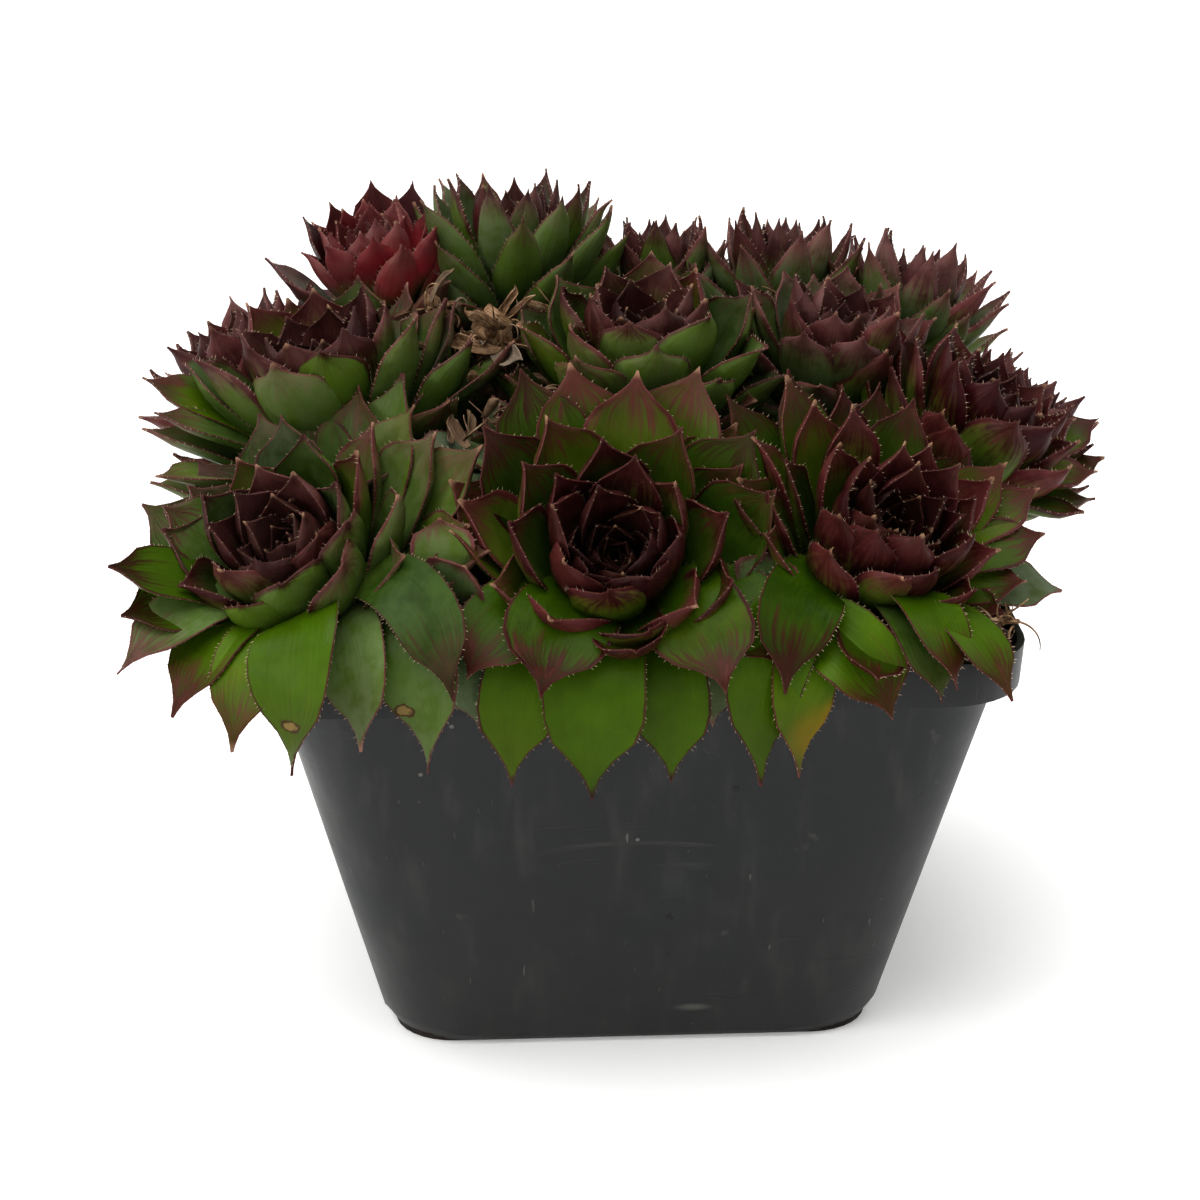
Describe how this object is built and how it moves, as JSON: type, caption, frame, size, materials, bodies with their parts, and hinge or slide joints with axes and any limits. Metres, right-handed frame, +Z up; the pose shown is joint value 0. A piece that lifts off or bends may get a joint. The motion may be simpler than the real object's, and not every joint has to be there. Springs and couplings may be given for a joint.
{
  "type": "potted houseleek",
  "caption": "Clump of crowded houseleek rosettes, green with purple tips, mounded above a tapered square black plastic nursery pot.",
  "frame": {"origin": "middle of the pot's underside, on the surface that it stands on", "axes": "+Z up; the pot's sides lie along X and Y, and the side that faces -Y is the front, over which the large front rosettes hang their leaves"},
  "size_m": [0.1773, 0.172, 0.1431],
  "materials": {
    "pot_plastic": "satin",
    "potting_mix": "rough",
    "houseleek_leaf": "satin",
    "withered_leaf": "rough",
    "bark": "rough"
  },
  "bodies": {
    "root": {"pot": "pot_plastic", "potting_mix": "potting_mix", "rosette_front_centre": "houseleek_leaf", "rosette_front_left": "houseleek_leaf", "rosette_front_right": "houseleek_leaf", "rosette_middle_left": "houseleek_leaf", "rosette_middle": "houseleek_leaf", "rosette_middle_right": "houseleek_leaf", "rosette_right_side": "houseleek_leaf", "rosette_red_bud": "houseleek_leaf", "rosette_top_left": "houseleek_leaf", "rosette_top_centre": "houseleek_leaf", "rosette_top_right": "houseleek_leaf", "rosette_right_shoulder": "houseleek_leaf", "rosette_left_side": "houseleek_leaf", "rosette_right_flank": "houseleek_leaf", "rosette_rear_left": "houseleek_leaf", "rosette_rear_centre": "houseleek_leaf", "rosette_rear_right": "houseleek_leaf", "offset_front_left": "houseleek_leaf", "offset_front_right": "houseleek_leaf", "offset_inner_left": "houseleek_leaf", "flower_stalk_stump": "withered_leaf", "withered_stalk_left": "withered_leaf", "withered_leaf_middle": "withered_leaf", "withered_leaf_right": "withered_leaf", "withered_leaf_corner": "withered_leaf", "bark_chip_corner": "bark", "bark_chip_edge": "bark"}
  },
  "joints": []
}
